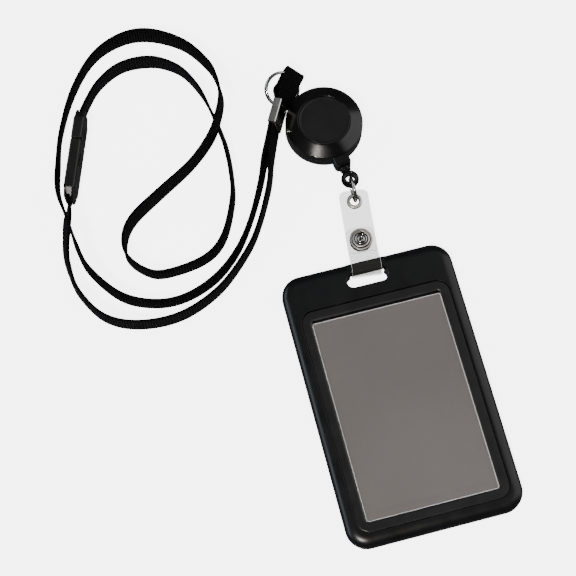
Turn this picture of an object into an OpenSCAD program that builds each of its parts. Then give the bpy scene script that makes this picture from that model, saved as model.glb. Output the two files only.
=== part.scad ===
// Lanyard badge holder: a slide-back card holder on a vinyl snap strap, a retracting
// cord reel and a woven neck lanyard with a breakaway buckle.
// Millimetres. The holder lies on its back: +Z is its front, +Y is its slot end, and the
// origin is the centre of its back face, which is also the table's surface.

/* [Holder] */
// Width of the holder
holder_w = 68; // [66:0.5:70]
// Length of the holder
holder_l = 108.2; // [106:0.2:110]
// Thickness of the holder
holder_t = 6; // [5.8:0.1:6.4]
// Radius of the holder's outer corners
holder_r = 8; // [6:0.5:10]
// Width of the visible window
window_w = 51.4; // [50:0.2:52]
// Length of the visible window
window_l = 80; // [78:0.5:81]
// Distance of the window's centre below the holder's centre
window_drop = 5.1; // [4.8:0.1:5.6]
// Width of the bezel's outline
bezel_w = 58.8; // [58:0.2:59.4]
// Length of the bezel's outline
bezel_l = 87.6; // [87:0.2:88]
// Width of the card bay, for a card 54 wide
bay_w = 55; // [54.6:0.2:55.4]
// Length of the card bay, for a card 85.6 long
bay_l = 86.4; // [86:0.2:86.8]

/* [Strap slot] */
// Length of the slot
slot_l = 16; // [15:0.5:17]
// Width of the slot
slot_w = 4.8; // [4.6:0.1:5]
// Width of the bar between the slot and the holder's end
bar_w = 5.2; // [5:0.1:5.4]

/* [Vinyl strap] */
// Width of the strap
strap_w = 11.6; // [11:0.2:12]
// Thickness of the strap
strap_t = 0.6; // [0.5:0.05:0.7]
// Turn of the strap on the bar, seen from above
strap_turn = -6.2; // [-8:0.2:-4]
// Distance from the bar's centre to the snap
snap_y = 11.6; // [11:0.2:12.4]
// Distance from the bar's centre to the eyelet
eyelet_y = 27.8; // [27:0.2:28.4]
// Distance from the bar's centre to the strap's end
strap_end_y = 32.4; // [32:0.2:33]
// Outer diameter of the snap fastener
snap_d = 9; // [8:0.5:10]

/* [Reel] */
// Outer diameter of the reel
reel_d = 31; // [30:0.5:32]
// Thickness of the reel
reel_t = 10.2; // [10:0.1:10.6]
// Diameter of the flat disc on the reel's face
disc_d = 20.6; // [20:0.2:21]
// Diameter of the pull cord
cord_d = 0.8; // [0.7:0.1:0.9]

/* [Lanyard] */
// Width of the webbing
web_w = 10; // [9:0.5:10]
// Thickness of the webbing
web_t = 1.2; // [1:0.1:1.2]
// Mean radius of the split ring
ring_r = 6.7; // [6.5:0.1:7]
// Wire diameter of the split ring and the link ring
wire_d = 1.2; // [1:0.1:1.2]
// Length of the closed breakaway buckle
buckle_l = 37; // [36:0.5:38]
// Width of the breakaway buckle
buckle_w = 12.6; // [12:0.2:13]
// Thickness of the breakaway buckle
buckle_t = 4.4; // [4.2:0.1:5]

/* [Hidden] */
$fn = 64;

gap = 0.25;             // sliding clearance in the holder
eps = 0.02;             // overshoot of a cut past a face
black = "#161719";
soft_black = "#222326";
steel = "#c8cacc";
brass_nickel = "#b9b6ad";
smoke = [0.46, 0.46, 0.44, 0.85];
vinyl = [0.84, 0.85, 0.83, 0.6];

// --- holder levels, upwards from the back face ---
cover_t = 2;                            // sliding back cover
groove_z = 0.9;                         // lower side of the cover's groove
groove_h = 1.1;
groove_d = 1.3;                         // depth of the groove into each side rail
rail_x = 30;                            // inner face of each side rail
bay_z = cover_t + gap;                  // card bay
pane_z = 3.75;                          // underside of the window pane
pane_t = 1;
bezel_z = pane_z + pane_t;
bezel_t = 0.8;
cover_top_y = 41;                       // inner end of the sliding cover
window_y = -window_drop;
slot_y = holder_l / 2 - bar_w - slot_w / 2;
bar_y = holder_l / 2 - bar_w / 2;

// --- vinyl strap, in its own frame: X along the bar, Y towards the reel ---
loop_z = 3.95;                          // height of the loop's axis
loop_r = 3.3;                           // inside radius of the loop round the bar
strap_x = 0.8;                          // where the strap crosses the bar
joint_z = 3;                            // plane where the two layers snap together
leg_end = 6.6;                          // where the sloping legs meet the flat part
flap_start = 1.2;                       // where the free flap begins
flap_end = 16.8;
stud_r = 1.5;
socket_r = 2;                           // well in the socket

// --- pull cord, reel and its parts, in the reel's frame: the cord leaves along -Y ---
reel_pos = [0.4, 113.1, 0];
reel_turn = 9.3;
reel_r = reel_d / 2;
disc_r = disc_d / 2;
wall = 1.3;
split_z = 5.2;                          // joint between base and cover
edge_z = 8;                             // where the cover's bevel starts
cord_z = 4.5;                           // height of the pull cord
neck_end = 19.6;
collar_a = 19.8;
collar_b = 22.4;
eye_y = 25.2;                           // centre of the cord eye
eye_r = 3.55;
eye_t = 4.2;
eye_hole_r = 1.8;
swivel_r = 0.9;                         // swivel pin between collar and eye
post_r = 2;                             // axle of the spool
spool_r = 13.4;
hub_r = 10;
link_r = 4.7;                           // mean radius of the link ring
link_pos = [4.35, 83.45, 5.3];

// --- split ring and the lanyard's end ---
ring_pos = [-11.8, 132.5, 5.2];
ring_up_dir = 110;                      // plan direction in which the ring's plane rises
ring_tilt = 30;                         // and how steeply
fold_angle = -62;                       // where the loop folds over the ring, from its highest point
lug_angle = -160;                       // where the reel's lug holds the ring
lug_dir = -45;                          // plan direction of the lug's plate, towards the reel
lug_t = 1.6;
lug_hole_r = 1.45;
crimp_pos = [-17, 120, 9.3];
crimp_dir = 61;
crimp_roll = 78;                        // roll of the webbing from flat: its left edge is high
crimp_w = 10.8;
crimp_l = 10.4;
crimp_t = 3.4;
fold_r = 2.2;                           // middle of the webbing's bend at the fold

// --- breakaway buckle ---
buckle_pos = [-98.4, 124, 6.4];
buckle_dir = 70;
plug_head = 12.8;                       // visible length of the plug half

// --- webbing routes: x, y, lift above the table, lean towards the left of the route ---
LONG_ROUTE = [
    [-20.1, 115.8, 4.2, -12], [-23, 110, 3.2, -11], [-26.8, 102.8, 2, -8], [-30.6, 94.3, 0.5, -4],
    [-38.1, 80.6, 0, 0], [-46.4, 69.5, 0, 0], [-57.1, 61, 0, 0], [-69.9, 56.5, 0, 2],
    [-82, 57.2, 0, 1], [-94, 63.4, 0, -2], [-103.2, 75.4, 3, -2], [-105.7, 84.2, 8, -3],
    [-106.4, 90.8, 10.4, 0], [-107, 96.8, 10.6, 0], [-107.9, 104, 10.2, 2], [-107.8, 112, 6, 0],
    [-106.1, 121.7, 1.2, -1], [-102.2, 135.5, 0, -5], [-93.9, 151.9, 0, -4], [-82.7, 165, 0, -4],
    [-70, 170.6, 0, 1], [-58, 169.6, 0, 4], [-45.6, 161.6, 0.4, 1], [-38.4, 149.6, 2.4, 0],
    [-36.7, 140.4, 5.6, -3], [-37.1, 131.1, 9, -6], [-40.2, 122.9, 10.4, -6],
    [-45.2, 115.4, 8.8, -5], [-55.2, 108.1, 4, -2], [-69.8, 100.8, 0.4, -4], [-81.9, 93.3, 0, -5],
    [-87.2, 86.2, 0, -4], [-88, 78.4, 0, -1], [-82.9, 71.2, 0, -2], [-75.4, 67.9, 0, -3],
    [-59.7, 69.6, 0, -1], [-50, 76.4, 0, 3], [-42.7, 91, 0, 4], [-40.5, 101.9, 0, 6],
    [-39.8, 112.7, 0, 9], [-40.3, 120.5, 0, 11], [-41.6, 129.8, 0, 9], [-44.1, 140.5, 0, 5],
    [-49, 150.2, 0, 4], [-55.8, 155.9, 0, 2],
];
LEAD_ROUTE = [
    [-55.8, 155.9, 0, 2], [-62.3, 158.3, 0, 0], [-70, 158.7, 0, 2], [-76.6, 156.9, 0, 2],
    [-83.5, 152.4, 0, 3], [-88.2, 147, 0.4, 2], [-92.2, 141, 1.2, 0],
];
SHORT_ROUTE = [
    [-104.6, 107, 1.2, 0], [-106.8, 101, 0.4, 20], [-108.8, 94, 0, 20], [-110.5, 86.5, 0, 15],
    [-110.8, 79.1, 0, 8], [-109.1, 68.5, 0, 2], [-101.8, 56.5, 0, 0], [-89.5, 50.4, 0, 0],
    [-73, 49.8, 0, 0], [-56.7, 56.2, 0, 0], [-43.2, 67.7, 0, 0], [-35.3, 78, 0, 1],
    [-27.4, 92.9, 0.6, 4], [-24.2, 102.3, 2, 8], [-21.5, 109.3, 3.2, 11], [-19, 115.1, 4.4, 12],
];

// ---------- helpers ----------

// Rectangle with round corners
module round_rect(w, l, r) {
    square([w - 2 * r, l], center = true);
    square([w, l - 2 * r], center = true);
    for (x = [-1, 1], y = [-1, 1]) {
        translate([x * (w / 2 - r), y * (l / 2 - r)]) circle(r = r);
    }
}

module at_window() {
    translate([0, window_y, 0]) children();
}

module at_strap() {
    translate([strap_x, bar_y, 0]) rotate([0, 0, strap_turn]) children();
}

module at_reel() {
    translate(reel_pos) rotate([0, 0, reel_turn]) children();
}

// X points up the slope of the ring's plane
module at_split_ring() {
    translate(ring_pos) rotate([0, 0, ring_up_dir]) rotate([0, -ring_tilt, 0]) children();
}

// Y points along the crimp to the loop, X across it to the low edge
module at_crimp() {
    translate(crimp_pos) rotate([0, 0, crimp_dir - 90]) rotate([0, crimp_roll, 0]) children();
}

// Frame of the buckle: Y along the buckle, X its thickness, Z its width
module at_buckle() {
    translate(buckle_pos) rotate([0, 0, buckle_dir - 90]) children();
}

// A profile drawn in Y and Z, extruded along X and centred on it
module along_x(width) {
    translate([-width / 2, 0, 0]) rotate([90, 0, 90]) linear_extrude(width) children();
}

// A flat strip between two points of a profile
module strip(a, b, t) {
    d = b - a;
    n = [-d[1], d[0]] / norm(d) * t / 2;
    polygon([a - n, b - n, b + n, a + n]);
}

// ---------- smooth webbing ----------

function mid(a, b, c, d, t) = (
    2 * b + (c - a) * t + (2 * a - 5 * b + 4 * c - d) * t * t
    + (3 * b - a - 3 * c + d) * t * t * t
) / 2;
function at(p, i) = p[max(0, min(len(p) - 1, i))];
function smooth(p, steps) = [
    for (i = [0 : len(p) - 2], k = [0 : steps - 1])
        mid(at(p, i - 1), at(p, i), at(p, i + 1), at(p, i + 2), k / steps),
    p[len(p) - 1],
];
function heading(p, i) = let (d = at(p, i + 1) - at(p, i - 1)) [d[0], d[1], 0] / norm([d[0], d[1]]);
// Eight points round the webbing's section: h across its width, v through its thickness
function section(h, v) = [
    h - v * 0.5, h * 0.92 - v, -h * 0.92 - v, -h - v * 0.5,
    -h + v * 0.5, -h * 0.92 + v, h * 0.92 + v, h + v * 0.5,
];
function web_ring(p, i) = let (
    lean = p[i][3],
    t = heading(p, i),
    left = [-t[1], t[0], 0],
    up = [0, 0, 1],
    h = (up * cos(lean) + left * sin(lean)) * web_w / 2,
    v = (left * cos(lean) - up * sin(lean)) * web_t / 2,
    height = cos(lean) * web_w / 2 + abs(sin(lean)) * web_t / 2 + p[i][2],
    centre = [p[i][0], p[i][1], height]
) [for (q = section(h, v)) centre + q];

// Closed skin over a list of rings, each of n points
module skin(rings) {
    n = len(rings[0]);
    last = len(rings) - 1;
    polyhedron(
        points = [for (r = rings, q = r) q],
        faces = [
            [for (k = [0 : n - 1]) k],
            for (i = [0 : last - 1], k = [0 : n - 1]) let (a = i * n + k, b = i * n + (k + 1) % n)
                each [[a, a + n, b + n], [a, b + n, b]],
            [for (k = [n - 1 : -1 : 0]) last * n + k],
        ]
    );
}

module webbing(route, steps) {
    p = smooth(route, steps);
    skin([for (i = [0 : len(p) - 1]) web_ring(p, i)]);
}

// ---------- holder ----------

// Front frame with its side rails, the strap slot and the strap bar
module holder_frame() {
    color(black) difference() {
        linear_extrude(holder_t) round_rect(holder_w, holder_l, holder_r);
        // bezel pocket, pane opening and card bay
        at_window() {
            translate([0, 0, bezel_z]) linear_extrude(holder_t) {
                round_rect(bezel_w + 0.2, bezel_l + 0.2, 5.1);
            }
            translate([0, 0, bay_z - gap - eps]) linear_extrude(holder_t) round_rect(bay_w, bay_l, 1);
        }
        // space for the sliding cover, open at the lower end
        cover_space(rail_x, -eps, cover_t + gap);
        cover_space(rail_x + groove_d, groove_z, groove_h);
        // strap slot, and the relief that thins the bar behind and in front of it
        translate([0, slot_y, -eps]) linear_extrude(holder_t + 1) {
            round_rect(slot_l, slot_w, slot_w / 2 - eps);
        }
        bar_relief();
    }
}

module cover_space(half_w, z, h) {
    translate([-half_w, -holder_l, z]) cube([2 * half_w, holder_l + cover_top_y + gap, h]);
}

// Removes all but a rounded bar between the slot and the holder's end
module bar_relief() {
    translate([strap_x, 0, 0]) along_x(strap_w + 2.4) difference() {
        translate([bar_y - bar_w / 2 - 0.6, -1]) square([bar_w + 1.6, holder_t + 2]);
        translate([bar_y, loop_z]) difference() {
            circle(r = 2.4);
            translate([-3, 1.95]) square([6, 2]);
            translate([-3, -3.95]) square([6, 2]);
        }
    }
}

// Inner trim that holds the pane, set a little below the frame's face
module window_bezel() {
    color(soft_black) at_window() translate([0, 0, bezel_z]) linear_extrude(bezel_t) difference() {
        round_rect(bezel_w, bezel_l, 5);
        round_rect(window_w, window_l, 1.2);
    }
}

// Frosted pane over the card
module front_window() {
    color(smoke) at_window() translate([0, 0, pane_z]) linear_extrude(pane_t) {
        round_rect(bay_w - 0.2, bay_l - 0.2, 1);
    }
}

// Back cover: it slides out of the lower end in grooves in the two side rails
module back_cover() {
    length = holder_l / 2 + cover_top_y;
    color(black) difference() {
        union() {
            intersection() {
                linear_extrude(cover_t) round_rect(holder_w, holder_l, holder_r);
                translate([-rail_x + gap, -holder_l / 2, 0]) cube([2 * (rail_x - gap), length, cover_t]);
            }
            tongue = rail_x + groove_d - gap;
            translate([-tongue, -holder_l / 2 + holder_r, groove_z + 0.2]) {
                cube([2 * tongue, length - holder_r, groove_h - 0.4]);
            }
        }
        // thumb recess with grip ribs left standing
        for (i = [0 : 4]) {
            translate([-9, -41 + i * 2.4, -eps]) cube([18, 1.4, 0.6]);
        }
    }
}

// ---------- vinyl strap ----------

// Front layer: from the eyelet end, past the snap, round the bar to the start of the flap
module strap_front() {
    z = joint_z + strap_t / 2;
    mid_r = loop_r + strap_t / 2;
    tangent = 33;
    top = [mid_r * sin(tangent), loop_z + mid_r * cos(tangent)];
    color(vinyl) at_strap() difference() {
        union() {
            along_x(strap_w) {
                strip(top, [leg_end, z], strap_t);
                translate([0, loop_z]) difference() {
                    circle(r = loop_r + strap_t);
                    circle(r = loop_r);
                    polygon([[0, 0], 9 * [sin(tangent), cos(tangent)], [12, 12], [12, -12], [0.7, -12]]);
                }
            }
            translate([0, leg_end - 0.2, joint_z]) linear_extrude(strap_t) {
                strap_end_outline(strap_end_y - leg_end + 0.2);
            }
        }
        translate([0, snap_y, 0]) cylinder(r = socket_r + 0.3, h = 8);
        translate([0, eyelet_y, 0]) cylinder(r = 2.2, h = 8);
    }
}

// Strap of the given length with its far corners rounded
module strap_end_outline(length) {
    r = 2.5;
    translate([-strap_w / 2, 0]) square([strap_w, length - r]);
    translate([-strap_w / 2 + r, 0]) square([strap_w - 2 * r, length]);
    for (x = [-1, 1]) {
        translate([x * (strap_w / 2 - r), length - r]) circle(r = r);
    }
}

// Rear layer: the flap that unsnaps
module strap_flap() {
    z = joint_z - strap_t / 2 - 0.1;
    low = [flap_start, loop_z - loop_r - strap_t / 2 + 0.05];
    color(vinyl) at_strap() difference() {
        union() {
            along_x(strap_w) strip(low, [leg_end, z], strap_t);
            translate([0, leg_end - 0.2, z - strap_t / 2]) linear_extrude(strap_t) {
                strap_end_outline(flap_end - leg_end + 0.2);
            }
        }
        translate([0, snap_y, 0]) cylinder(r = stud_r + 0.1, h = 8);
    }
}

// Metal eyelet set in the strap's end
module strap_eyelet() {
    hole_r = 1.75;
    flange_r = 3;
    color(steel) at_strap() translate([0, eyelet_y, joint_z + strap_t / 2]) rotate_extrude() {
        translate([hole_r, -strap_t / 2 - 0.45]) square([0.4, strap_t + 0.9]);
        translate([hole_r, strap_t / 2 + 0.02]) square([flange_r - hole_r, 0.43]);
        translate([hole_r, -strap_t / 2 - 0.45]) square([flange_r - hole_r, 0.43]);
    }
}

// Female half of the snap, on the front layer: flange, rim and open well
module snap_socket() {
    top = joint_z + strap_t;
    color(steel) at_strap() translate([0, snap_y, 0]) rotate_extrude() {
        polygon([
            [socket_r, joint_z], [socket_r + 0.25, joint_z], [socket_r + 0.25, top + 0.02],
            [snap_d / 2, top + 0.02], [snap_d / 2, top + 0.5], [3.6, top + 0.7], [3.6, top + 1.1],
            [3.1, top + 1.4], [socket_r + 0.9, top + 1.4], [socket_r + 0.9, top + 0.5],
            [socket_r, top + 0.5],
        ]);
    }
}

// Split wire spring that grips the stud
module snap_spring() {
    color(brass_nickel) at_strap() translate([0, snap_y, joint_z + strap_t + 0.85]) {
        rotate([0, 0, 105]) rotate_extrude(angle = 330) translate([2.1, 0]) circle(r = 0.28, $fn = 16);
    }
}

// Male half of the snap, on the flap: it stands up through both layers
module snap_stud() {
    under = joint_z - 0.1 - strap_t;
    color(steel) at_strap() translate([0, snap_y, 0]) rotate_extrude() {
        polygon([
            [0.7, under - 0.5], [snap_d / 2 - 0.4, under - 0.5], [snap_d / 2 - 0.4, under - 0.02],
            [stud_r, under - 0.02], [stud_r, 4.6], [1.2, 4.9], [0.7, 4.9],
        ]);
    }
}

// Cap that closes the stud from behind
module snap_cap() {
    under = joint_z - 0.1 - strap_t - 0.52;
    color(steel) at_strap() translate([0, snap_y, 0]) rotate_extrude() {
        polygon([[0, 0.6], [3.6, 0.9], [snap_d / 2, under - 0.3], [snap_d / 2, under], [0, under]]);
    }
}

// Closed steel ring through the eyelet and the cord eye
module link_ring() {
    color(steel) translate(link_pos) rotate([0, 90, -1.5]) rotate_extrude() {
        translate([link_r, 0]) circle(d = wire_d, $fn = 24);
    }
}

// ---------- pull cord and its end ----------

// Round eye on the cord's end
module cord_eye() {
    color(black) at_reel() difference() {
        translate([0, -eye_y, cord_z]) rotate_extrude() polygon([
            [0, -eye_t / 2], [eye_r - 1.1, -eye_t / 2], [eye_r, -eye_t / 2 + 1.3],
            [eye_r, eye_t / 2 - 1.3], [eye_r - 1.1, eye_t / 2], [0, eye_t / 2],
        ]);
        translate([0, -eye_y, 0]) cylinder(r = eye_hole_r, h = 12);
        translate([0, -eye_y, cord_z]) rotate([-90, 0, 0]) cylinder(r = swivel_r + 0.05, h = 6);
    }
}

// Collar on the cord's end, with the pin that the eye swivels on
module cord_collar() {
    color(black) at_reel() translate([0, -collar_a, cord_z]) rotate([90, 0, 0]) difference() {
        union() {
            cylinder(r1 = 2.4, r2 = 2.1, h = collar_b - collar_a - 0.9);
            cylinder(r = swivel_r, h = eye_y - eye_hole_r - collar_a - 0.3);
        }
        translate([0, 0, -eps]) cylinder(d = cord_d + 0.1, h = 1);
        translate([0, 0, 0.5]) cylinder(r = 0.75, h = 1);
    }
}

// Knot that keeps the cord's end in the collar
module cord_knot() {
    color(soft_black) at_reel() translate([0, -collar_a - 1, cord_z]) sphere(r = 0.45, $fn = 24);
}

// Cord from the winding to the collar
module reel_cord() {
    leave_r = 11.6;
    color(soft_black) at_reel() translate([0, -leave_r, cord_z]) rotate([90, 0, 0]) {
        cylinder(d = cord_d, h = collar_a + 0.4 - leave_r, $fn = 24);
    }
}

// ---------- reel ----------

// Back shell with the axle, the cord outlet and the lug for the split ring
module reel_base() {
    color(black) difference() {
        union() {
            at_reel() {
                cylinder(r = reel_r, h = split_z);
                translate([-3.3, -neck_end, 1.4]) cube([6.6, neck_end - reel_r + 2, 6.2]);
            }
            lug();
        }
        at_reel() {
            difference() {
                translate([0, 0, 1.2]) cylinder(r = reel_r - wall, h = 12);
                cylinder(r = post_r, h = edge_z - 0.5);
            }
            // room above the axle, screw hole and head recess, cord outlet
            translate([0, 0, edge_z - 0.5]) cylinder(r = 3, h = 4);
            translate([0, 0, -eps]) cylinder(r = 1.05, h = 12);
            translate([0, 0, -eps]) cylinder(r = 2.3, h = 0.7);
            translate([0, -reel_r + 3, cord_z]) rotate([90, 0, 0]) cylinder(r = 0.9, h = 12);
        }
        // the cover's edge passes over the roots of the outlet and the lug
        at_reel() translate([0, 0, split_z]) cylinder(r = reel_r + 0.1, h = 6);
    }
}

// Eye on the back shell's rim, round the split ring
module lug() {
    p = ring_point(lug_angle);
    eye_wall = 0.4;
    translate([p[0], p[1], 0]) rotate([0, 0, lug_dir]) difference() {
        union() {
            translate([0, 0, p[2]]) rotate([90, 0, 0]) {
                cylinder(r = lug_hole_r + eye_wall, h = lug_t, center = true);
            }
            translate([0, -lug_t / 2, 0.3]) cube([5, lug_t, p[2] + lug_hole_r]);
        }
        translate([0, 0, p[2]]) rotate([90, 0, 0]) cylinder(r = lug_hole_r, h = lug_t + 1, center = true);
    }
}

// Front shell: side wall, bevel and the pocket for the disc
module reel_cover() {
    z0 = split_z + 0.05;
    color(black) at_reel() rotate_extrude() polygon([
        [reel_r, z0], [reel_r, edge_z], [disc_r + 0.35, reel_t], [disc_r + 0.1, reel_t],
        [disc_r + 0.1, reel_t - 0.9], [0, reel_t - 0.9], [0, reel_t - 1.8],
        [disc_r, reel_t - 1.8], [reel_r - wall, edge_z - 0.6], [reel_r - wall, z0],
    ]);
}

// Flat disc on the reel's face
module reel_disc() {
    color(soft_black) at_reel() translate([0, 0, reel_t - 0.88]) cylinder(r = disc_r, h = 0.7);
}

// Screw that holds the base and the cover together
module reel_screw() {
    color(steel) at_reel() difference() {
        union() {
            translate([0, 0, 0.15]) cylinder(r = 2.1, h = 0.5);
            cylinder(r = 1, h = edge_z - 0.2);
        }
        translate([0, 0, -eps]) cylinder(r = 3, h = 0.17);
        for (a = [0, 90]) {
            rotate([0, 0, a]) translate([-1.3, -0.25, 0]) cube([2.6, 0.5, 0.4]);
        }
    }
}

// Flat coil spring between the axle and the spool
module reel_spring() {
    turns = 5;
    steps = 20;
    r0 = 2.5;
    pitch = 1.15;
    t = 0.3;
    count = turns * steps;
    function spiral(i, off) = let (a = 360 * i / steps, r = r0 + pitch * i / steps + off)
        r * [cos(a), sin(a)];
    color(steel) at_reel() translate([0, 0, 1.9]) linear_extrude(4) polygon([
        for (i = [0 : count]) spiral(i, t / 2),
        for (i = [count : -1 : 0]) spiral(i, -t / 2),
    ]);
}

// Spool: it turns on the axle, holds the spring in its cup and the cord in its groove
module reel_spool() {
    z0 = 1.5;
    z1 = 7.7;
    color("#d8d6cf") at_reel() rotate_extrude() polygon([
        [post_r + 0.05, 6.3], [hub_r - 1, 6.3], [hub_r - 1, z0], [spool_r, z0], [spool_r, z0 + 0.8],
        [hub_r, z0 + 0.8], [hub_r, 6.4], [spool_r, 6.4], [spool_r, 7.1], [post_r + 1.4, 7.1],
        [post_r + 1.4, z1], [post_r + 0.05, z1],
    ]);
}

// Turns of cord in the groove
module reel_cord_wound() {
    color(soft_black) at_reel() translate([0, 0, 2.5]) difference() {
        cylinder(r = 11.5, h = 3.7);
        translate([0, 0, -1]) cylinder(r = hub_r + 0.05, h = 6);
    }
}

// ---------- split ring ----------

ring_rise = [cos(ring_up_dir) * cos(ring_tilt), sin(ring_up_dir) * cos(ring_tilt), sin(ring_tilt)];
ring_level = [-sin(ring_up_dir), cos(ring_up_dir), 0];
function ring_radius(angle) = ring_rise * cos(angle) + ring_level * sin(angle);
function ring_point(angle) = ring_pos + ring_radius(angle) * ring_r;

// Two flat turns of wire, one on the other
module split_ring() {
    color(steel) at_split_ring() for (z = [-1, 1]) {
        translate([0, 0, z * (wire_d / 2 - 0.05)]) rotate_extrude() {
            translate([ring_r, 0]) circle(d = wire_d, $fn = 24);
        }
    }
}

// ---------- lanyard ----------

// The loop's middle line runs from the crimp to the middle of the fold, and its frame turns
// from the crimp's to the split ring's
crimp_along = [cos(crimp_dir), sin(crimp_dir), 0];
crimp_across = [sin(crimp_dir) * cos(crimp_roll), -cos(crimp_dir) * cos(crimp_roll), -sin(crimp_roll)];
loop_start = crimp_pos + crimp_along * (crimp_l / 2 - 1);
fold_centre = ring_point(fold_angle);
fold_along = ring_radius(fold_angle);
fold_across = ring_radius(fold_angle - 90);

function unit(v) = v / norm(v);
function bezier(a, b, c, d, t) =
    a * (1 - t) ^ 3 + 3 * b * t * (1 - t) ^ 2 + 3 * c * t ^ 2 * (1 - t) + d * t ^ 3;
function loop_middle(t) = bezier(
    loop_start, loop_start + crimp_along * 5, fold_centre - fold_along * 6.5, fold_centre, t
);
// One ring of the loop at part t of its length: s past the middle line's point, out from it
function loop_ring(t, s, inner, outer) = let (
    ahead = unit(loop_middle(t + 0.01) - loop_middle(t - 0.01)),
    turned = min(1, t / 0.75),
    rough = crimp_across * (1 - turned) + fold_across * turned,
    across = unit(rough - ahead * (rough * ahead)),
    out = cross(across, ahead),
    middle = loop_middle(t)
) [
    for (q = [[0, 1], [1, 1], [1, -1], [0, -1]])
        middle + ahead * s[q[0]] + out * (q[0] == 0 ? inner : outer) + across * q[1] * web_w / 2
];

// Webbing folded over the split ring, both ends held in the crimp
module end_loop() {
    h = web_t / 2;
    near = h + 0.05;
    function side(t) = near + (fold_r - near) * min(1, t / 0.6);
    rings = [
        for (t = [0 : 0.1 : 0.95]) loop_ring(t, [0, 0], side(t) - h, side(t) + h),
        for (a = [0 : 22.5 : 180])
            loop_ring(
                1, [(fold_r - h) * sin(a), (fold_r + h) * sin(a)],
                (fold_r - h) * cos(a), (fold_r + h) * cos(a)
            ),
        for (t = [0.9 : -0.1 : -0.05]) loop_ring(t, [0, 0], h - side(t), -side(t) - h),
    ];
    color(soft_black) skin(rings);
}

// Metal crimp round both ends and the end loop, open in a window at the front
module crimp() {
    color(steel) at_crimp() difference() {
        cube([crimp_w, crimp_l, crimp_t], center = true);
        cube([crimp_w - 1.2, crimp_l + 1, web_t * 2 + 0.2], center = true);
        translate([0, 0, crimp_t / 2]) cube([crimp_w - 3.4, crimp_l - 2, 2], center = true);
    }
}

module strap_long() {
    color(soft_black) webbing(LONG_ROUTE, 1);
}

module strap_lead() {
    color(soft_black) webbing(LEAD_ROUTE, 2);
}

module strap_short() {
    color(soft_black) webbing(SHORT_ROUTE, 2);
}

// Outline of the closed buckle's side, tapered at both ends
module buckle_outline(a, b) {
    chamfer = 1.6;
    h = buckle_w / 2;
    end = buckle_l / 2;
    intersection() {
        polygon([
            [-end, -h + chamfer], [-end + 2 * chamfer, -h], [end - 2 * chamfer, -h], [end, -h + chamfer],
            [end, h - chamfer], [end - 2 * chamfer, h], [-end + 2 * chamfer, h], [-end, h - chamfer],
        ]);
        translate([a, -buckle_w]) square([b - a, 2 * buckle_w]);
    }
}

// Socket half, on the short strand: a flat box that the plug's prongs enter
module buckle_socket() {
    seam = buckle_l / 2 - plug_head;
    color(black) at_buckle() difference() {
        along_x(buckle_t) buckle_outline(-buckle_l / 2, seam - 0.15);
        translate([-1.3, -8, -buckle_w / 2 + 1.3]) cube([2.6, 40, buckle_w - 2.6]);
        translate([-web_t / 2 - 0.1, -buckle_l, -web_w / 2 - 0.1]) {
            cube([web_t + 0.2, buckle_l, web_w + 0.2]);
        }
    }
}

// Plug half, on the long strand: head and two springy prongs
module buckle_plug() {
    seam = buckle_l / 2 - plug_head;
    color(black) at_buckle() difference() {
        union() {
            along_x(buckle_t) buckle_outline(seam + 0.15, buckle_l / 2);
            for (z = [-1, 1]) {
                translate([-1, seam - 11, z * 2.8 - 1.3]) cube([2, 11.4, 2.6]);
            }
        }
        translate([-web_t / 2 - 0.1, seam + 4, -web_w / 2 - 0.1]) {
            cube([web_t + 0.2, buckle_l, web_w + 0.2]);
        }
    }
}

holder_frame();
window_bezel();
front_window();
back_cover();
strap_front();
strap_eyelet();
snap_socket();
snap_spring();
strap_flap();
snap_stud();
snap_cap();
link_ring();
cord_eye();
cord_collar();
cord_knot();
reel_base();
reel_cover();
reel_disc();
reel_screw();
reel_spring();
reel_cord();
reel_spool();
reel_cord_wound();
split_ring();
end_loop();
crimp();
strap_long();
strap_lead();
strap_short();
buckle_socket();
buckle_plug();
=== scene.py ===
"""Looks of the lanyard badge holder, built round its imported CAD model.

Lengths are millimetres in the CAD model's frame until a mesh is made, which is in metres.
"""

from math import cos, degrees, hypot, pi, radians, sin, sqrt

import bmesh
import bpy
from mathutils import Matrix, Vector


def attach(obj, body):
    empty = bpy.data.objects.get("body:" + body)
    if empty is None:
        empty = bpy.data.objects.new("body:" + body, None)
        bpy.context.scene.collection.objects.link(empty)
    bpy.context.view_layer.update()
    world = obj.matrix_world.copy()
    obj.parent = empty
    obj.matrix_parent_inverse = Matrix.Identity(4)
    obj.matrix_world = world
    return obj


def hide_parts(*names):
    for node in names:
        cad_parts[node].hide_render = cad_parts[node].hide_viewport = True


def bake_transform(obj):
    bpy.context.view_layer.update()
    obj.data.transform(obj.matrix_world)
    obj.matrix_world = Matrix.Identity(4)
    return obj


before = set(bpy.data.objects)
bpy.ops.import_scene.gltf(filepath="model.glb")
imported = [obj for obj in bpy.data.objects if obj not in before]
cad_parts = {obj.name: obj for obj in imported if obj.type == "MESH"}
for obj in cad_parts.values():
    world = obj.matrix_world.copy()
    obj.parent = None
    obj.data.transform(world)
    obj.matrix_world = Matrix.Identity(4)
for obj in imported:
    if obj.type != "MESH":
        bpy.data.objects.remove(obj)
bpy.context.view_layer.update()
MM = 0.001

# ---------- driving sizes, as in the CAD model ----------

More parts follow.
